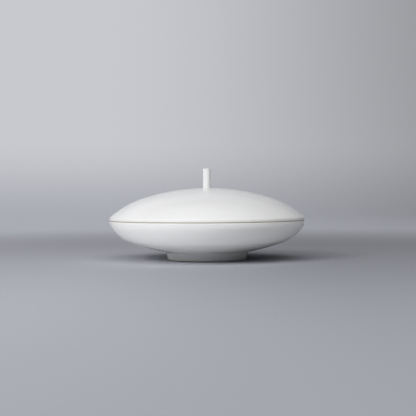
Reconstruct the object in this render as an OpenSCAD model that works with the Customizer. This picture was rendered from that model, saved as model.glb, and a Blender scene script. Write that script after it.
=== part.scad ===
// Soup bowl with a lid, in white glazed porcelain.
// A wide shallow bowl stands on a foot ring. The domed lid rests on the bowl's rim, is kept in
// place by a flange inside the rim, and is lifted by a slim pin knob.
// Millimetres. The origin is the centre of the foot ring on the table, and Z is the turning axis.

/* [Bowl] */
// Outer diameter of the bowl and of the lid, where they meet
rim_d = 200; // [160:1:240]
// Depth of the bowl's body, from its rim to the lowest point of its belly
bowl_depth = 36.4; // [30:0.1:46]
// Wall thickness of the bowl
bowl_wall = 4; // [3:0.1:6]
// Slope at which the belly's wide arc passes into the flank's arc, in degrees
belly_slope = 19.7; // [16:0.1:23]
// Slope at which the flank's arc passes into the arc under the rim, in degrees
bowl_flank_slope = 54; // [46:0.1:60]
// Radius of the arc under the rim
rim_arc_r = 12; // [9:0.5:18]
// Height of the upright lip at the top of the bowl
bowl_lip_h = 1.2; // [1:0.1:3]
// Rounding of the lip's outer edge, the lower half of the groove at the seam
bowl_edge_r = 1.1; // [0.4:0.1:1.2]
// Rounding of the lip's inner edge
bowl_inner_edge_r = 1; // [0.4:0.1:1.2]

/* [Foot ring] */
// Outer diameter of the foot ring where it meets the belly
foot_d = 84; // [64:1:110]
// Height of the foot ring
foot_h = 8; // [7:0.1:16]
// Width of the foot ring at its top
foot_t = 6; // [5:0.1:9]
// How far the ring's outer side leans in from its top to the table
foot_lean = 1; // [0:0.1:1.5]
// How far the ring's inner side leans out from its top to the table
foot_inner_lean = 0.6; // [0:0.1:1]
// Rounding of the two edges at the table
foot_edge_r = 1.2; // [0.4:0.1:1.4]
// Gap at the step inside the foot ring, filled with slip when the ring is stuck on
lute_gap = 0.1; // [0.05:0.05:0.3]

/* [Lid] */
// Height of the lid's crown above the seam
lid_rise = 32.8; // [28:0.1:42]
// Wall thickness of the lid
lid_wall = 4; // [3:0.1:6]
// Slope at which the crown's wide arc passes into the lid's flank, in degrees
crown_slope = 17.3; // [15:0.1:20]
// Slope at which the lid's flank meets the small arc at its edge, in degrees
lid_flank_slope = 41; // [38:0.1:45]
// Radius of the small arc above the lid's edge
lid_arc_r = 2; // [0.8:0.1:4]
// Height of the upright edge of the lid
lid_lip_h = 2; // [1.2:0.1:4]
// Rounding of the lid's lower edge, the upper half of the groove at the seam
lid_edge_r = 0.8; // [0.4:0.1:1.2]
// Depth to which the locating flange reaches into the bowl
flange_h = 5; // [3.5:0.1:7]
// Thickness of the locating flange
flange_t = 3; // [2:0.1:4]
// Clearance between the flange and the bowl's wall at the flange's depth
flange_gap = 1; // [0.4:0.1:2]
// Radius of the cove between the flange and the inside of the lid
cove_r = 4; // [2:0.5:6]

/* [Knob] */
// Diameter of the pin knob
knob_d = 8; // [7:0.1:14]
// Height of the knob above the lid
knob_h = 20; // [12:0.1:36]
// Rounding of the knob's top edge
knob_edge_r = 0.8; // [0.3:0.1:2]
// Diameter of the tenon under the knob
tenon_d = 5; // [3:0.1:6]
// Thickness of the lid that is left under the tenon's socket
socket_floor = 1.4; // [1:0.1:2]
// Gap around the tenon and under it, filled with slip when the knob is stuck on
socket_gap = 0.1; // [0.05:0.05:0.3]
// Width of the flat that is trimmed on the crown around the knob
seat_margin = 0.3; // [0.1:0.1:1]

/* [Hidden] */
$fn = 240;
glaze_white = [0.93, 0.93, 0.92];

// Arcs that follow each other overlap by these hairs, so that they meet without a step
lap = 0.002;
edge_lap = 0.016;
// How far a cutting shape runs past the surface that it cuts
over = 1;

rim_r = rim_d / 2;
foot_r = foot_d / 2;
foot_in_r = foot_r - foot_t;
knob_r = knob_d / 2;
tenon_r = tenon_d / 2;

// An arc is a list of its centre and its radius.
function center(arc) = arc[0];
function radius(arc) = arc[1];
function unit(v) = v / norm(v);
// Direction of the outline's normal where its slope is a
function normal(a) = [sin(a), cos(a)];
// Drop of an arc's top at a distance x from the axis
function sag(r, x) = r - sqrt(r * r - x * x);

// Outline of a dish that stands with its rim at height 0 and its crown at height rise, as three
// arcs that are tangent to each other: a wide one over the axis up to slope_1, a flank up to
// slope_2, and an edge that ends upright at the rim, above a lip of height lip. The radii of the
// first two follow from the width and the height that the outline has to cover.
function dish_arcs(rise, lip, edge_r, slope_1, slope_2) =
    let (
        n1 = normal(slope_1),
        n2 = normal(slope_2),
        reach = rim_r - edge_r * (1 - n2.x),
        climb = rise - lip - edge_r * n2.y,
        det = n1.x * (n1.y - n2.y) - (n2.x - n1.x) * (1 - n1.y),
        wide_r = (reach * (n1.y - n2.y) - climb * (n2.x - n1.x)) / det,
        flank_r = (climb * n1.x - reach * (1 - n1.y)) / det,
        wide_center = [0, rise - wide_r],
        flank_center = wide_center + (wide_r - flank_r) * n1
    )
    [[wide_center, wide_r], [flank_center, flank_r], [[rim_r - edge_r, lip], edge_r]];

// The same arcs moved inwards by a wall
function inset(arcs, wall) = [for (arc = arcs) [center(arc), radius(arc) - wall]];

// Slope of the line from one arc's centre to the next one's, which is where the two meet
function slope_between(a, b) =
    let (d = center(b) - center(a))
    atan2(d.x, d.y);

// Radius of the outline at a height z, on its edge arc or on its flank
function outline_r(arcs, z) =
    let (
        edge_top = center(arcs[2]).y + radius(arcs[2]) * cos(slope_between(arcs[1], arcs[2])),
        arc = z < edge_top ? arcs[2] : arcs[1],
        up = max(z - center(arc).y, 0)
    )
    center(arc).x + sqrt(pow(radius(arc), 2) - pow(up, 2));

bowl_arcs = dish_arcs(bowl_depth, bowl_lip_h, rim_arc_r, belly_slope, bowl_flank_slope);
bowl_inner_arcs = inset(bowl_arcs, bowl_wall);
bowl_in_r = rim_r - bowl_wall;
belly_r = radius(bowl_arcs[0]);

// The belly meets the foot ring's outer edge, so the rim's height follows from the ring
foot_seat = bowl_depth - sag(belly_r, foot_r);
rim_h = foot_h + foot_seat;

lid_arcs = dish_arcs(lid_rise, lid_lip_h, lid_arc_r, crown_slope, lid_flank_slope);
crown_r = radius(lid_arcs[0]);

// The flange keeps its clearance from the bowl's wall
flange_r = outline_r(bowl_inner_arcs, flange_h) - flange_gap;
flange_in_r = flange_r - flange_t;

// Inside of the lid: the outer arcs moved in by the wall, with the cove at the flange as the edge
lid_inner_wide = inset(lid_arcs, lid_wall)[0];
lid_inner_flank = inset(lid_arcs, lid_wall)[1];
cove_x = flange_in_r - cove_r;
cove_across = cove_x - center(lid_inner_flank).x;
cove_up = sqrt(pow(radius(lid_inner_flank) - cove_r, 2) - pow(cove_across, 2));
cove_center = [cove_x, center(lid_inner_flank).y + cove_up];
lid_inner_arcs = [lid_inner_wide, lid_inner_flank, [cove_center, cove_r]];

// The knob stands on a flat that is trimmed on the crown
seat_r = knob_r + seat_margin;
seat_z = lid_rise - sag(crown_r, seat_r);
socket_depth = seat_z - (lid_rise - lid_wall) - socket_floor;
tenon_l = socket_depth - socket_gap;

// Disc of an arc, grown by a hair where it has to overlap the arc before it
module disc(arc, grow = 0) {
    translate(center(arc))
        circle(r = radius(arc) + grow);
}

// Part of an arc's disc between two slopes
module sector(arc, from, to, grow = 0) {
    far = 3 * radius(arc);
    intersection() {
        disc(arc, grow);
        polygon([center(arc), center(arc) + far * normal(from), center(arc) + far * normal(to)]);
    }
}

// Half section of a solid dish with the given arcs, from the height base up to its crown
module dish_area(arcs, base) {
    edge_x = center(arcs[2]).x + radius(arcs[2]);
    lip = center(arcs[2]).y;
    crown = center(arcs[0]).y + radius(arcs[0]);
    slope_1 = slope_between(arcs[0], arcs[1]);
    slope_2 = slope_between(arcs[1], arcs[2]);
    intersection() {
        union() {
            sector(arcs[0], -slope_1, slope_1);
            sector(arcs[1], slope_1 - over, slope_2, lap);
            disc([center(arcs[2]) - [edge_lap, 0], radius(arcs[2])], edge_lap);
            translate([0, base])
                square([edge_x, lip - base]);
        }
        translate([0, base])
            square([edge_x, crown + over - base]);
    }
}

// What rounding the corner p, between the sides to a and b, takes away
module corner_waste(a, p, b, r) {
    half = acos(unit(a - p) * unit(b - p)) / 2;
    c = p + unit(unit(a - p) + unit(b - p)) * r / sin(half);
    at_a = p + unit(a - p) * r / tan(half);
    at_b = p + unit(b - p) * r / tan(half);
    difference() {
        polygon([c, 2 * at_a - c, 2 * p - c, 2 * at_b - c]);
        disc([c, r], lap);
    }
}

// Straight-sided outline whose corners are rounded by the radii of the same order
module rounded(points, radii) {
    n = len(points);
    difference() {
        polygon(points);
        for (i = [0 : n - 1])
            if (radii[i] > 0)
                corner_waste(points[(i + n - 1) % n], points[i], points[(i + 1) % n], radii[i]);
    }
}

// Half section of the bowl, upside down with its rim at height 0
module bowl_section() {
    difference() {
        dish_area(bowl_arcs, 0);
        dish_area(bowl_inner_arcs, -over);
        corner_waste([rim_r, bowl_lip_h], [rim_r, 0], [0, 0], min(bowl_edge_r, bowl_lip_h));
        corner_waste([bowl_in_r, bowl_lip_h], [bowl_in_r, 0], [rim_r, 0], bowl_inner_edge_r);
        // Flat seat of the foot ring, with a step inside the ring
        translate([foot_in_r - lute_gap, foot_seat])
            square([foot_t + lute_gap + over, bowl_depth]);
    }
}

// Half section of the lid, with its seat on the bowl's rim at height 0
module lid_section() {
    nose_r = flange_t / 2;
    difference() {
        dish_area(lid_arcs, 0);
        dish_area(lid_inner_arcs, -over);
        corner_waste([rim_r, lid_lip_h], [rim_r, 0], [0, 0], min(lid_edge_r, lid_lip_h));
        // Flat for the knob, and the socket of its tenon
        translate([0, seat_z])
            square([seat_r, lid_rise]);
        translate([0, seat_z - socket_depth])
            square([tenon_r + socket_gap, socket_depth + over]);
    }
    // Flange with a round nose
    translate([flange_in_r, nose_r - flange_h])
        square([flange_t, flange_h - nose_r]);
    translate([flange_in_r + nose_r, nose_r - flange_h])
        circle(r = nose_r);
}

// Thin dish with an upright lip, a flat rim and a flat seat under its belly
module bowl() {
    color(glaze_white)
        translate([0, 0, rim_h])
            rotate_extrude()
                mirror([0, 1])
                    bowl_section();
}

// Low ring that leans in towards the table and rests on a flat face
module foot_ring() {
    color(glaze_white)
        rotate_extrude()
            rounded(
                [
                    [foot_in_r, foot_h],
                    [foot_in_r + foot_inner_lean, 0],
                    [foot_r - foot_lean, 0],
                    [foot_r, foot_h]
                ],
                [0, foot_edge_r, foot_edge_r, 0]
            );
}

// Dome with an upright edge, a flange inside the bowl's rim and a socket for the knob
module lid() {
    color(glaze_white)
        translate([0, 0, rim_h])
            rotate_extrude()
                lid_section();
}

// Slim round pin with a softened top and a tenon
module knob() {
    color(glaze_white)
        translate([0, 0, rim_h + seat_z])
            rotate_extrude()
                rounded(
                    [
                        [0, -tenon_l],
                        [tenon_r, -tenon_l],
                        [tenon_r, 0],
                        [knob_r, 0],
                        [knob_r, knob_h],
                        [0, knob_h]
                    ],
                    [0, 0, 0, 0, knob_edge_r, 0]
                );
}

bowl();
foot_ring();
lid();
knob();
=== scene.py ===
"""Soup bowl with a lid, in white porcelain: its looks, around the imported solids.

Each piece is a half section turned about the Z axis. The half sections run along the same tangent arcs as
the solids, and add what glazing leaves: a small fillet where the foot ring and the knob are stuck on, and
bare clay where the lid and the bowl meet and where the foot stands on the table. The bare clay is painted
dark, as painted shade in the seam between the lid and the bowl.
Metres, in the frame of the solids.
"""
import math

import bmesh
import bpy
import numpy as np
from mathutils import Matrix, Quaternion, Vector


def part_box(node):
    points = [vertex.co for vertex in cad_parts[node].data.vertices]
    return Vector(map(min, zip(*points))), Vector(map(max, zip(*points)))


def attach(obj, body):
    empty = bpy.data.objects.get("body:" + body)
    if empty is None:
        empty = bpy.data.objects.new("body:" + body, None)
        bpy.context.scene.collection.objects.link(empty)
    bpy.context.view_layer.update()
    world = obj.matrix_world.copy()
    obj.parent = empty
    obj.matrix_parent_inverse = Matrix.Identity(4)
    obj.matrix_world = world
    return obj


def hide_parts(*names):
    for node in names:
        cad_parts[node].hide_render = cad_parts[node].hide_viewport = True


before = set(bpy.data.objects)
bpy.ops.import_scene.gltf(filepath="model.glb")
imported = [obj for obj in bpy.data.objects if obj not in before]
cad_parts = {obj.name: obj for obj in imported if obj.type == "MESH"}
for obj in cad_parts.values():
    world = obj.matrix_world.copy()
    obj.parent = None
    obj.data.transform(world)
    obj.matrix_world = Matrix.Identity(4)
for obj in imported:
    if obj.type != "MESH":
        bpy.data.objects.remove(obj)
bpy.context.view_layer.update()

MM = 0.001
RIGHT_ANGLE = math.pi / 2

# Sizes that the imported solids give
BOWL_LOW, BOWL_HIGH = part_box("bowl")
LID_LOW, LID_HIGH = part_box("lid")
FOOT_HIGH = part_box("foot_ring")[1]
KNOB_LOW, KNOB_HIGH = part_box("knob")
RIM_R = BOWL_HIGH.x
RIM_Z = BOWL_HIGH.z
BOWL_DEPTH = BOWL_HIGH.z - BOWL_LOW.z
FOOT_R = FOOT_HIGH.x
FOOT_H = FOOT_HIGH.z
KNOB_R = KNOB_HIGH.x
KNOB_TOP = KNOB_HIGH.z
FLANGE_LOW = LID_LOW.z
SEAT_Z = LID_HIGH.z

# Sizes that the boxes of the solids do not give, as in the part's source
WALL = 4 * MM
BELLY_SLOPE = math.radians(19.7)
BOWL_FLANK_SLOPE = math.radians(54)
RIM_ARC_R = 12 * MM
BOWL_LIP = 1.2 * MM
BOWL_EDGE_R = 1.1 * MM
BOWL_INNER_EDGE_R = 1 * MM
FOOT_T = 6 * MM
FOOT_LEAN = 1 * MM
FOOT_INNER_LEAN = 0.6 * MM
FOOT_EDGE_R = 1.2 * MM
LUTE_GAP = 0.1 * MM
LID_RISE = 32.8 * MM
CROWN_SLOPE = math.radians(17.3)
LID_FLANK_SLOPE = math.radians(41)
LID_ARC_R = 2 * MM
LID_LIP = 2 * MM
LID_EDGE_R = 0.8 * MM
FLANGE_R = 94.04 * MM
FLANGE_T = 3 * MM
COVE_R = 4 * MM
KNOB_EDGE_R = 0.8 * MM
TENON_R = 2.5 * MM
SOCKET_R = TENON_R + LUTE_GAP
SOCKET_RISE = 30.2 * MM
SOCKET_Z = RIM_Z + SOCKET_RISE
SEAT_MARGIN = 0.3 * MM
SEAT_R = KNOB_R + SEAT_MARGIN

# Fillets that the glaze fills where a piece is stuck on
FOOT_FILLET = 0.6 * MM
KNOB_FILLET = 0.28 * MM

# Grid of the turned pieces: columns round the axis, the length of a row on a long arc, the fewest rows of an
# arc, the distance at which points are one, and the angle from which an edge is sharp
ROUND = 240
ROW = 1.3 * MM
FEWEST_ROWS = 8
WELD = 0.001 * MM
SHARP = math.radians(38)

# Straight sides keep clear of the rounded corners: the share of the foot's side that its rows cover, and the
# room at both ends of the knob's side
FOOT_SIDE_START = 0.25
FOOT_SIDE_END = 0.75
KNOB_ROOM = 1 * MM


def slope_point(center, radius, slope):
    """Point of an arc where the outline has that slope: center + radius * (sin, cos)."""
    return np.add(center, radius * np.array([math.sin(slope), math.cos(slope)]))


def arc(center, radius, start, end, rows=None):
    """Points of an arc from one slope to another. At the slope a the point is
    center + radius * (sin a, cos a). A slope of 0 is the top of the arc, and a right angle its upright
    side."""
    rows = rows or max(FEWEST_ROWS, round(abs(end - start) * radius / ROW))
    a = np.linspace(start, end, rows)
    return np.asarray(center) + radius * np.stack([np.sin(a), np.cos(a)], axis=1)


def line(start, end, rows=2):
    """Points of a straight line, evenly spaced: start + t * (end - start) for t from 0 to 1."""
    t = np.linspace(0, 1, rows)[:, None]
    return np.asarray(start) + t * np.subtract(end, start)


def fillet(start, corner, end, rows=8):
    """Points of a hollow fillet, a quadratic curve pulled towards its corner:
    (1 - t)^2 * start + 2 t (1 - t) * corner + t^2 * end."""
    t = np.linspace(0, 1, rows)[:, None]
    parts = ((1 - t) ** 2, start), (2 * t * (1 - t), corner), (t ** 2, end)
    return sum(weight * np.asarray(point) for weight, point in parts)


def corner(before, at, after, radius, rows=10):
    """Points of a rounded corner: the arc of that radius that touches both sides of the corner."""
    at = np.asarray(at)
    a = np.subtract(before, at) / np.linalg.norm(np.subtract(before, at))
    b = np.subtract(after, at) / np.linalg.norm(np.subtract(after, at))
    half = math.acos(a @ b) / 2
    middle = at + (a + b) / np.linalg.norm(a + b) * radius / math.sin(half)
    from_a = at + a * radius / math.tan(half) - middle
    from_b = at + b * radius / math.tan(half) - middle
    sweep = math.pi - 2 * half
    t = np.linspace(0, 1, rows)[:, None]
    turned = np.sin((1 - t) * sweep) * from_a + np.sin(t * sweep) * from_b
    return middle + turned / math.sin(sweep)


def dish_arcs(rise, lip, edge_r, slope_1, slope_2):
    """Outline of a dish with its rim at height 0 and its crown at height rise, as three arcs that touch: a
    wide one over the axis up to slope_1, a flank up to slope_2, and an edge that ends upright above a lip.
    The first two radii solve the two equations for the width and the height that the outline covers."""
    n1 = np.array([math.sin(slope_1), math.cos(slope_1)])
    n2 = np.array([math.sin(slope_2), math.cos(slope_2)])
    span = np.array([RIM_R - edge_r * (1 - n2[0]), rise - lip - edge_r * n2[1]])
    steps = np.array([[n1[0], n2[0] - n1[0]], [1 - n1[1], n1[1] - n2[1]]])
    wide_r, flank_r = np.linalg.solve(steps, span)
    wide = np.array([0, rise - wide_r])
    flank = wide + (wide_r - flank_r) * n1
    edge = np.array([RIM_R - edge_r, lip])
    return (wide, wide_r), (flank, flank_r), (edge, edge_r)


def bowl_profile():
    """Half section of the bowl, from the middle of its underside out to the rim and back to the middle of
    its inside. It is laid out upside down, with the rim at height 0, and turned over at the end."""
    (wide, wide_r), (flank, flank_r), (edge, edge_r) = dish_arcs(
        BOWL_DEPTH, BOWL_LIP, RIM_ARC_R, BELLY_SLOPE, BOWL_FLANK_SLOPE)
    step_r = FOOT_R - FOOT_T - LUTE_GAP
    seat = RIM_Z - FOOT_H
    in_r = RIM_R - WALL
    under = arc(wide, wide_r, 0, math.asin(step_r / wide_r))
    foot_slope = math.asin(FOOT_R / wide_r)
    upside_down = np.concatenate([
        under,
        line([step_r, seat], [FOOT_R, seat], rows=3),
        arc(wide, wide_r, foot_slope, BELLY_SLOPE)[1:],
        arc(flank, flank_r, BELLY_SLOPE, BOWL_FLANK_SLOPE)[1:],
        arc(edge, edge_r, BOWL_FLANK_SLOPE, RIGHT_ANGLE)[1:],
        corner([RIM_R, BOWL_LIP], [RIM_R, 0], [0, 0], BOWL_EDGE_R),
        corner([RIM_R, 0], [in_r, 0], [in_r, BOWL_LIP], BOWL_INNER_EDGE_R),
        arc(edge, edge_r - WALL, RIGHT_ANGLE, BOWL_FLANK_SLOPE),
        arc(flank, flank_r - WALL, BOWL_FLANK_SLOPE, BELLY_SLOPE)[1:],
        arc(wide, wide_r - WALL, BELLY_SLOPE, 0)[1:],
    ])
    return upside_down * [1, -1] + [0, RIM_Z]


def foot_profile():
    """Half section of the foot ring, a closed loop. Glaze fills the corner under the belly with a hollow
    fillet that runs out on the belly."""
    (wide, wide_r), _, _ = dish_arcs(BOWL_DEPTH, BOWL_LIP, RIM_ARC_R, BELLY_SLOPE, BOWL_FLANK_SLOPE)
    inner_low = [FOOT_R - FOOT_T + FOOT_INNER_LEAN, 0]
    outer_low = np.array([FOOT_R - FOOT_LEAN, 0])
    inner_top = [FOOT_R - FOOT_T, FOOT_H]
    outer_top = np.array([FOOT_R, FOOT_H])
    up = outer_top - outer_low
    fillet_start = outer_top - FOOT_FILLET * up / np.linalg.norm(up)
    on_belly = slope_point(wide, wide_r, math.asin((FOOT_R + FOOT_FILLET) / wide_r)) * [1, -1] + [0, RIM_Z]
    return np.concatenate([
        corner(inner_top, inner_low, outer_low, FOOT_EDGE_R),
        corner(inner_low, outer_low, outer_top, FOOT_EDGE_R),
        line(outer_low + FOOT_SIDE_START * up, outer_low + FOOT_SIDE_END * up, rows=5),
        fillet(fillet_start, outer_top, on_belly),
        line(on_belly, inner_top, rows=3)[1:],
        line(inner_top, inner_low, rows=6)[1:-2],
    ])


def lid_profile():
    """Half section of the lid, from the middle of its inside out along the flange and the seat, and back
    over its outside to the socket of the knob. It is laid out with its seat at height 0."""
    (wide, wide_r), (flank, flank_r), (edge, edge_r) = dish_arcs(
        LID_RISE, LID_LIP, LID_ARC_R, CROWN_SLOPE, LID_FLANK_SLOPE)
    flange_in = FLANGE_R - FLANGE_T
    nose_r = FLANGE_T / 2
    nose = np.array([flange_in + nose_r, FLANGE_LOW - RIM_Z + nose_r])
    cove_x = flange_in - COVE_R
    across = cove_x - flank[0]
    reach = flank_r - WALL - COVE_R
    cove = np.array([cove_x, flank[1] + math.sqrt(reach ** 2 - across ** 2)])
    cove_slope = math.asin(across / reach)
    upright = np.concatenate([
        arc(wide, wide_r - WALL, 0, CROWN_SLOPE),
        arc(flank, flank_r - WALL, CROWN_SLOPE, cove_slope)[1:],
        arc(cove, COVE_R, cove_slope, RIGHT_ANGLE, rows=14)[1:],
        line([flange_in, cove[1]], [flange_in, nose[1]], rows=5)[1:],
        arc(nose, nose_r, -RIGHT_ANGLE, -3 * RIGHT_ANGLE, rows=18)[1:],
        line([FLANGE_R, nose[1]], [FLANGE_R, 0], rows=4)[1:],
        corner([0, 0], [RIM_R, 0], [RIM_R, LID_LIP], LID_EDGE_R),
        arc(edge, edge_r, RIGHT_ANGLE, LID_FLANK_SLOPE),
        arc(flank, flank_r, LID_FLANK_SLOPE, CROWN_SLOPE)[1:],
        arc(wide, wide_r, CROWN_SLOPE, math.asin(SEAT_R / wide_r))[1:],
        line([SEAT_R, SEAT_Z - RIM_Z], [SOCKET_R, SEAT_Z - RIM_Z], rows=3)[1:],
        line([SOCKET_R, SOCKET_Z - RIM_Z], [0, SOCKET_Z - RIM_Z], rows=3),
    ])
    return upright + [0, RIM_Z]


def knob_profile():
    """Half section of the knob, from the middle of its tenon out and up to the middle of its top. Glaze
    fills the corner at its foot with a hollow fillet, twice as tall as it is wide."""
    foot_out = [KNOB_R + KNOB_FILLET, SEAT_Z]
    return np.concatenate([
        line([0, KNOB_LOW.z], [TENON_R, KNOB_LOW.z], rows=3),
        line([TENON_R, SEAT_Z], foot_out, rows=3),
        fillet(foot_out, [KNOB_R, SEAT_Z], [KNOB_R, SEAT_Z + 2 * KNOB_FILLET])[1:],
        line([KNOB_R, SEAT_Z + KNOB_ROOM], [KNOB_R, KNOB_TOP - KNOB_ROOM], rows=14),
        corner([KNOB_R, SEAT_Z], [KNOB_R, KNOB_TOP], [0, KNOB_TOP], KNOB_EDGE_R),
        line([KNOB_R - KNOB_ROOM, KNOB_TOP], [0, KNOB_TOP], rows=4),
    ])


def turned(name, profile, closed=False):
    """A half section carried round the Z axis. Point (r, z) of row i, turned by the angle t of column j, is
    (r cos t, r sin t, z). Rows on the axis shrink to one point, and a closed half section joins its last row
    to its first. Faces point to the right of the direction in which the half section runs."""
    t = np.linspace(0, 2 * math.pi, ROUND, endpoint=False)
    r, z = profile[:, :1], profile[:, 1:]
    grid = np.stack([r * np.cos(t), r * np.sin(t), np.broadcast_to(z, (len(profile), ROUND))], axis=2)
    rows = len(profile)
    i = np.arange(rows if closed else rows - 1)[:, None]
    j = np.arange(ROUND)[None, :]
    here, there = i * ROUND, (i + 1) % rows * ROUND
    along = (j + 1) % ROUND
    quads = np.stack([here + j, here + along, there + along, there + j], axis=2)
    mesh = bpy.data.meshes.new(name)
    mesh.from_pydata(grid.reshape(-1, 3).tolist(), [], quads.reshape(-1, 4).tolist())
    welded = bmesh.new()
    welded.from_mesh(mesh)
    bmesh.ops.remove_doubles(welded, verts=welded.verts, dist=WELD)
    welded.to_mesh(mesh)
    welded.free()
    mesh.shade_smooth()
    mesh.set_sharp_from_angle(angle=SHARP)
    piece = bpy.data.objects.new(name, mesh)
    bpy.context.scene.collection.objects.link(piece)
    return piece


class Value:
    """An output socket of a finish. Arithmetic on it adds Math nodes."""

    def __init__(self, finish, socket):
        self.finish = finish
        self.socket = socket

    def __add__(self, other):
        return self.finish.math("ADD", self, other)

    def __radd__(self, other):
        return self.finish.math("ADD", other, self)

    def __sub__(self, other):
        return self.finish.math("SUBTRACT", self, other)

    def __rsub__(self, other):
        return self.finish.math("SUBTRACT", other, self)

    def __mul__(self, other):
        return self.finish.math("MULTIPLY", self, other)

    def __rmul__(self, other):
        return self.finish.math("MULTIPLY", other, self)

    def __truediv__(self, other):
        return self.finish.math("DIVIDE", self, other)

    def __rtruediv__(self, other):
        return self.finish.math("DIVIDE", other, self)

    def __pow__(self, other):
        return self.finish.math("POWER", self, other)


class Finish:
    """A material's node tree, written as expressions."""

    def __init__(self, name):
        self.material = bpy.data.materials.new(name)
        self.material.use_nodes = True
        self.tree = self.material.node_tree
        self.shader = self.tree.nodes["Principled BSDF"]
        self.surface = self.tree.nodes["Material Output"]

    def fill(self, node, sockets):
        """Gives each named socket of a node its value or its link."""
        for key, value in sockets.items():
            if isinstance(value, Value):
                self.tree.links.new(value.socket, node.inputs[key])
            else:
                node.inputs[key].default_value = value

    def node(self, kind, settings, sockets, output=0):
        """Adds a node of a type with its settings and its sockets, and returns one of its outputs."""
        node = self.tree.nodes.new(kind)
        for key, value in settings.items():
            setattr(node, key, value)
        self.fill(node, sockets)
        return Value(self, node.outputs[output])

    def math(self, operation, *values):
        """Adds a Math node for an operation on values."""
        return self.node("ShaderNodeMath", {"operation": operation}, dict(enumerate(values)))

    def mix(self, share, color, other):
        """Colour that goes from one to another as the share goes from 0 to 1."""
        return self.node("ShaderNodeMix", {"data_type": "RGBA"}, {0: share, 6: color, 7: other}, output=2)

    def ease(self, value, start, end):
        """Smooth step from 0 at start to 1 at end. Start may be the greater of the two."""
        return self.node("ShaderNodeMapRange", {"interpolation_type": "SMOOTHSTEP"},
                         {"Value": value, "From Min": start, "From Max": end})

    def noise(self, place, size, detail=2.0):
        """Cloudy noise about 0.5, with blotches of about that size."""
        return self.node("ShaderNodeTexNoise", {},
                         {"Vector": place, "Scale": 1 / size, "Detail": detail, "Roughness": 0.5})

    def band(self, value, edge, start, end):
        """Smooth step from 0 to 1 between two distances from an edge of the piece."""
        return self.ease(value, edge + start, edge + end)

    def place(self):
        """Point on the piece, how far it is to the right, its distance from the axis and its height."""
        point = self.node("ShaderNodeTexCoord", {}, {}, output=3)
        parts = self.node("ShaderNodeSeparateXYZ", {}, {0: point}).socket.node
        x, y, z = (Value(self, socket) for socket in parts.outputs)
        return point, x, (x * x + y * y) ** 0.5, z


# Colours of the glaze and of the bare clay. The bare clay is painted far darker than fired porcelain, as
# painted shade in the seam between lid and bowl
GLAZE = (0.865, 0.868, 0.873, 1)
GLAZE_THIN = (0.86, 0.85, 0.835, 1)
GLAZE_POOLED = (0.80, 0.82, 0.81, 1)
CLAY_WITH_SEAM_SHADE = (0.44, 0.375, 0.29, 1)
DARK_CLAY_WITH_SEAM_SHADE = (0.37, 0.31, 0.235, 1)
BLACK = (0, 0, 0, 1)

# How much of the second colour shows at the most
CLOUD_SHARE = 0.35
THIN_SHARE = 0.55
GRAIN_SHARE = 0.6
FOOT_POOL_SHARE = 0.8
KNOB_POOL_SHARE = 0.7

# Gloss of the glaze, which is a little duller and sharper in clouds, and of the bare clay
GLAZE_ROUGHNESS = 0.1
ROUGHNESS_SPREAD = 0.08
CLAY_ROUGHNESS = 0.8
GLAZE_IOR = 1.5
NOISE_MIDDLE = 0.5

# Blotches of the noise, the heights that they raise, and how much lower bare clay lies than the glaze
CLOUD_SIZE = 38 * MM
RIPPLE_SIZE = 6 * MM
PEEL_SIZE = 1.1 * MM
GRAIN_SIZE = 0.35 * MM
RIPPLE_HEIGHT = 0.004 * MM
PEEL_HEIGHT = 0.0012 * MM
GRAIN_HEIGHT = 0.014 * MM
GLAZE_COAT = 0.06 * MM

# Bands of the finishes: where each starts and where it is whole, as distances from the edge of a piece
# The bare bands at the rim and the seat carry the dark clay colour, which is painted shade in the seam
RIM_BARE = (-0.65 * MM, -0.4 * MM)
RIM_THIN = (-3 * MM, -1 * MM)
BELLY_POOL_OUT = (1.6 * MM, 0.2 * MM)
BELLY_POOL_IN = (-1 * MM, 0)
BELLY_POOL_UP = (2 * MM, 1 * MM)
FOOT_BARE = (0.8 * MM, 0.45 * MM)
FOOT_THIN = (2.2 * MM, 0.8 * MM)
FOOT_POOL = (-1.6 * MM, -0.3 * MM)
SEAT_BARE = (0.25 * MM, 0.1 * MM)
FLANGE_BARE = (-1.9 * MM, -1.6 * MM)
LID_THIN_OUT = (-4 * MM, -1 * MM)
LID_THIN_DOWN = (5 * MM, 2 * MM)
CROWN_POOL_IN = (1 * MM, 0)
CROWN_POOL_UP = (-2 * MM, -1 * MM)
KNOB_THIN_UP = (-1.4 * MM, -0.4 * MM)
KNOB_THIN_OUT = (-1.6 * MM, -0.6 * MM)
KNOB_POOL = (1 * MM, 0.2 * MM)


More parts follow.
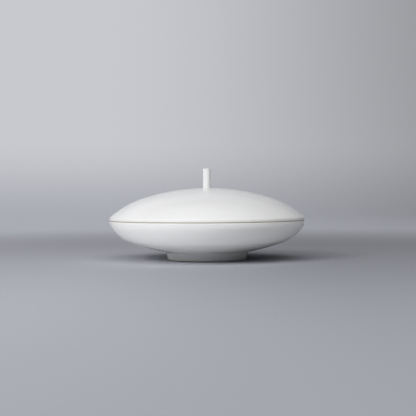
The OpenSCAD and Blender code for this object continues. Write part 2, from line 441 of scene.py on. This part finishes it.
def porcelain(name, bare, thin, pooled):
    """Glossy white glaze over clay. The three functions give, from the distance to the axis and the height,
    where the clay is bare, where the glaze runs thin over an edge, and where it pools in a corner. The bare
    clay is painted dark, as painted shade in the seam between the lid and the bowl."""
    finish = Finish(name)
    point, _, r, z = finish.place()
    # Where the clay is bare. Its dark colour paints the shade in the seam, and darkens the line where the
    # foot stands
    clay = bare(finish, r, z)
    cloud = finish.noise(point, CLOUD_SIZE, detail=3.0)
    ripple = finish.noise(point, RIPPLE_SIZE, detail=1.0)
    peel = finish.noise(point, PEEL_SIZE, detail=2.0)
    grain = finish.noise(point, GRAIN_SIZE, detail=3.0)
    color = finish.mix(CLOUD_SHARE * cloud + THIN_SHARE * thin(finish, r, z), GLAZE, GLAZE_THIN)
    color = finish.mix(pooled(finish, r, z), color, GLAZE_POOLED)
    # Painted shade: the dark clay colour stands in for the shade in the groove between lid and bowl
    clay_and_seam_shade = finish.mix(GRAIN_SHARE * grain, CLAY_WITH_SEAM_SHADE, DARK_CLAY_WITH_SEAM_SHADE)
    glaze_height = RIPPLE_HEIGHT * ripple + PEEL_HEIGHT * peel
    clay_height = GRAIN_HEIGHT * grain - GLAZE_COAT
    height = (1 - clay) * glaze_height + clay * clay_height
    bump = finish.node("ShaderNodeBump", {}, {"Height": height / MM, "Distance": MM, "Strength": 1.0})
    glaze_roughness = GLAZE_ROUGHNESS + ROUGHNESS_SPREAD * (cloud - NOISE_MIDDLE)
    finish.fill(finish.shader, {
        "Base Color": finish.mix(clay, color, clay_and_seam_shade),
        "Roughness": (1 - clay) * glaze_roughness + clay * CLAY_ROUGHNESS,
        "Normal": bump,
        "IOR": GLAZE_IOR,
    })
    return finish.material


def nowhere(finish, r, z):
    """No part of the piece."""
    return 0 * z


def bowl_bare_seam_shade(finish, r, z):
    """The flat of the rim and the upper half of its two rounded edges. Their dark clay colour is painted
    shade in the seam under the lid.
    """
    return finish.band(z, RIM_Z, *RIM_BARE)


def bowl_thin(finish, r, z):
    """A narrow band under the rim."""
    return finish.band(z, RIM_Z, *RIM_THIN)


def bowl_pooled(finish, r, z):
    """The belly just outside the foot ring."""
    ring = finish.band(r, FOOT_R, *BELLY_POOL_OUT) * finish.band(r, FOOT_R, *BELLY_POOL_IN)
    return FOOT_POOL_SHARE * ring * finish.band(z, FOOT_H, *BELLY_POOL_UP)


def foot_bare(finish, r, z):
    """The face that stands on the table, and the lowest part of its rounded edges. The dark clay colour
    there also darkens the line where the foot stands.
    """
    return finish.ease(z, *FOOT_BARE)


def foot_thin(finish, r, z):
    """Just above the bare face on the table."""
    return finish.ease(z, *FOOT_THIN)


def foot_pooled(finish, r, z):
    """The top of the foot ring, under the belly."""
    return FOOT_POOL_SHARE * finish.band(z, FOOT_H, *FOOT_POOL)


def lid_bare_seam_shade(finish, r, z):
    """The seat on the rim, the lowest part of its rounded edge, and the outer half of the flange. Their dark
    clay colour is painted shade in the seam over the bowl's rim.
    """
    return finish.band(z, RIM_Z, *SEAT_BARE) * finish.band(r, FLANGE_R, *FLANGE_BARE)


def lid_thin(finish, r, z):
    """The small arc and the upright edge above the rim."""
    return finish.band(r, RIM_R, *LID_THIN_OUT) * finish.band(z, RIM_Z, *LID_THIN_DOWN)


def lid_pooled(finish, r, z):
    """The crown just round the seat of the knob."""
    return KNOB_POOL_SHARE * finish.band(r, SEAT_R, *CROWN_POOL_IN) * finish.band(z, SEAT_Z, *CROWN_POOL_UP)


def knob_thin(finish, r, z):
    """The rounded edge of the knob's top."""
    return finish.band(z, KNOB_TOP, *KNOB_THIN_UP) * finish.band(r, KNOB_R, *KNOB_THIN_OUT)


def knob_pooled(finish, r, z):
    """The foot of the knob, on its seat."""
    return KNOB_POOL_SHARE * finish.band(z, SEAT_Z, *KNOB_POOL)


PIECES = [
    # name, half section, closed, node, body, slot, where bare, where thin, where pooled
    ("glazed_bowl", bowl_profile(), False, "bowl", "bowl_body", "bowl_glaze",
     bowl_bare_seam_shade, bowl_thin, bowl_pooled),
    ("glazed_foot", foot_profile(), True, "foot_ring", "bowl_body", "foot_glaze",
     foot_bare, foot_thin, foot_pooled),
    ("glazed_lid", lid_profile(), False, "lid", "lid_body", "lid_glaze",
     lid_bare_seam_shade, lid_thin, lid_pooled),
    ("glazed_knob", knob_profile(), False, "knob", "lid_body", "knob_glaze",
     nowhere, knob_thin, knob_pooled),
]

for name, profile, closed, node, body, slot, bare, thin, pooled in PIECES:
    piece = turned(name, profile, closed)
    piece.data.materials.append(porcelain(name + "_finish", bare, thin, pooled))
    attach(piece, body)
    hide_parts(node)

# Studio: a round floor that curves up into a wall on all sides, and is open under the foot ring
FLOOR_Z = -0.02 * MM
FLOOR_R = 1.9
STAND_R = FOOT_R - FOOT_LEAN - FOOT_EDGE_R
OPEN_MARGIN = 0.3 * MM
OPEN_R = STAND_R - OPEN_MARGIN
SWEEP_R = 0.9
WALL_TOP = 2.6

# Colours of the floor, painted paler on the left and darker on the right as painted light and shade, and of
# the glow behind it
PAPER_PAINTED_LIGHT_LEFT = (0.455, 0.465, 0.51, 1)
PAPER_PAINTED_SHADE_RIGHT = (0.335, 0.345, 0.38, 1)
GLOW_LOW = (0.39, 0.40, 0.44, 1)
GLOW_HIGH = (0.57, 0.58, 0.615, 1)
GLOW_LOSS = 0.5
PAPER_ROUGHNESS = 0.8

# Colours that send light back to the object
CARD_BOUNCE = (0.95, 0.955, 0.975, 1)
TABLE_BOUNCE = (0.525, 0.535, 0.555, 1)
ROOM_BOUNCE = (0.2, 0.2, 0.2, 1)

# Where one look gives way to the next: out from the axis, to the right, and up
FLOOR_TO_GLOW = (0.2, 0.95)
TABLE_TO_ROOM = (0.7, 0.91)
LEFT_TO_RIGHT = (-0.12, 0.12)
GLOW_DIMS = (-0.4, 1.2)
GLOW_PALES = (-0.05, 0.25)


def studio_profile():
    """Half section of the studio, from the top of its wall down, round the sweep and in to the opening."""
    wall_r = FLOOR_R + SWEEP_R
    sweep = np.array([FLOOR_R, FLOOR_Z + SWEEP_R])
    return np.concatenate([
        line([wall_r, WALL_TOP], sweep + [SWEEP_R, 0], rows=4),
        arc(sweep, SWEEP_R, RIGHT_ANGLE, 2 * RIGHT_ANGLE, rows=24)[1:],
        line([FLOOR_R, FLOOR_Z], [OPEN_R, FLOOR_Z], rows=12)[1:],
    ])


def paper():
    """Matt paper. The floor takes light and shadow, and is also painted paler on the left and darker on the
    right, as painted light and shade. Further out it gives way to a glow that only the camera and the glaze
    see, paler upwards and dimmer to the right. What sends light back to the object is a table top, pale on
    the left and darker on the right, in a dim room. The paper is clear from behind, so that it hides
    nothing."""
    finish = Finish("studio_paper")
    _, x, r, z = finish.place()
    camera_ray = finish.node("ShaderNodeLightPath", {}, {}, output=0)
    glossy_ray = finish.node("ShaderNodeLightPath", {}, {}, output=3)
    seen = finish.math("MAXIMUM", camera_ray, glossy_ray)
    far = finish.ease(r, *FLOOR_TO_GLOW)
    right = finish.ease(x, *LEFT_TO_RIGHT)
    # Painted light and shade: the floor's colour is paler on the left and darker on the right
    floor = finish.mix(far, finish.mix(right, PAPER_PAINTED_LIGHT_LEFT, PAPER_PAINTED_SHADE_RIGHT), BLACK)
    table = finish.mix(right, CARD_BOUNCE, TABLE_BOUNCE)
    bounce = finish.mix(finish.ease(r, *TABLE_TO_ROOM), table, ROOM_BOUNCE)
    glow = finish.mix(finish.ease(z, *GLOW_PALES), GLOW_LOW, GLOW_HIGH)
    dimmed = 1 - GLOW_LOSS * finish.ease(x, *GLOW_DIMS)
    finish.fill(finish.shader, {
        "Base Color": finish.mix(seen, bounce, floor),
        "Emission Color": finish.mix(seen * far * dimmed, BLACK, glow),
        "Emission Strength": 1.0,
        "Roughness": PAPER_ROUGHNESS,
        "Specular IOR Level": 0.0,
    })
    behind = finish.node("ShaderNodeNewGeometry", {}, {}, output=6)
    clear = finish.node("ShaderNodeBsdfTransparent", {}, {})
    front = Value(finish, finish.shader.outputs[0])
    both = finish.node("ShaderNodeMixShader", {}, {0: behind, 1: front, 2: clear})
    finish.fill(finish.surface, {"Surface": both})
    return finish.material


studio = turned("studio", studio_profile())
studio.data.materials.append(paper())

# Lamps. A strong lamp would burn out where the glaze mirrors it, so the strong ones only light the surfaces,
# and a dim one just in front of the front lamp only shows in the glaze
FRONT_PLACE = (-0.62, -1.41, 0.98)
GLEAM_PLACE = (-0.60, -1.37, 0.95)
FRONT_SIZE = (2.7, 0.8)
MIDDLE = (0, 0, 0.04)
UNDERSIDE = (0, 0, 0)
LAMPS = [
    # name, place, aim, size, power, lights surfaces, shows in the glaze
    ("key", (-1.04, -1.24, 0.90), MIDDLE, (1.0, 0.5), 11.0, True, False),
    ("front", FRONT_PLACE, MIDDLE, FRONT_SIZE, 8.6, True, False),
    ("key_gleam", GLEAM_PLACE, MIDDLE, FRONT_SIZE, 7.0, False, True),
    ("top", (0.0, -0.66, 1.28), MIDDLE, (1.9, 1.5), 10.8, True, False),
    ("fill", (0.84, -0.66, 0.94), MIDDLE, (1.5, 1.0), 1.9, True, True),
    ("side", (-1.25, 0.55, 0.52), MIDDLE, (2.0, 1.0), 2.75, True, False),
    ("under", (0.0, 0.0, -0.9), UNDERSIDE, (0.8, 0.8), 4.0, True, False),
]

for name, place, aim, size, power, lights, shows in LAMPS:
    lamp = bpy.data.lights.new(name, "AREA")
    lamp.shape = "ELLIPSE"
    lamp.size, lamp.size_y = size
    lamp.energy = power
    lamp_object = bpy.data.objects.new(name, lamp)
    lamp_object.location = place
    lamp_object.visible_camera = False
    lamp_object.visible_diffuse = lights
    lamp_object.visible_glossy = shows
    lamp_object.rotation_mode = "QUATERNION"
    lamp_object.rotation_quaternion = (Vector(aim) - Vector(place)).to_track_quat("-Z", "Y")
    bpy.context.scene.collection.objects.link(lamp_object)

# Sky: a faint cool light from beyond the studio
SKY = (0.9, 0.94, 1.0, 1)
SKY_STRENGTH = 0.03
world = bpy.data.worlds.new("sky")
world.use_nodes = True
world.node_tree.nodes["Background"].inputs["Color"].default_value = SKY
world.node_tree.nodes["Background"].inputs["Strength"].default_value = SKY_STRENGTH
bpy.context.scene.world = world

# Camera: as far off and as high as the photograph's, which is 416 pixels wide
IMAGE = 416
FOCAL_PIXELS = 1020.6
SENSOR = 36
CAMERA_PLACE = Vector((0, -1.05, 0.0694))
CAMERA_AIM = Vector((1.2 * MM, 0, 52.9 * MM))
CAMERA_ROLL = math.radians(0.3)
camera = bpy.data.objects.new("camera", bpy.data.cameras.new("camera"))
camera.data.sensor_width = SENSOR
camera.data.lens = SENSOR * FOCAL_PIXELS / IMAGE
camera.location = CAMERA_PLACE
camera.rotation_mode = "QUATERNION"
look = (CAMERA_AIM - CAMERA_PLACE).to_track_quat("-Z", "Y")
camera.rotation_quaternion = look @ Quaternion((0, 0, 1), -CAMERA_ROLL)
bpy.context.scene.collection.objects.link(camera)
bpy.context.scene.camera = camera

bpy.context.scene.view_settings.view_transform = "Standard"
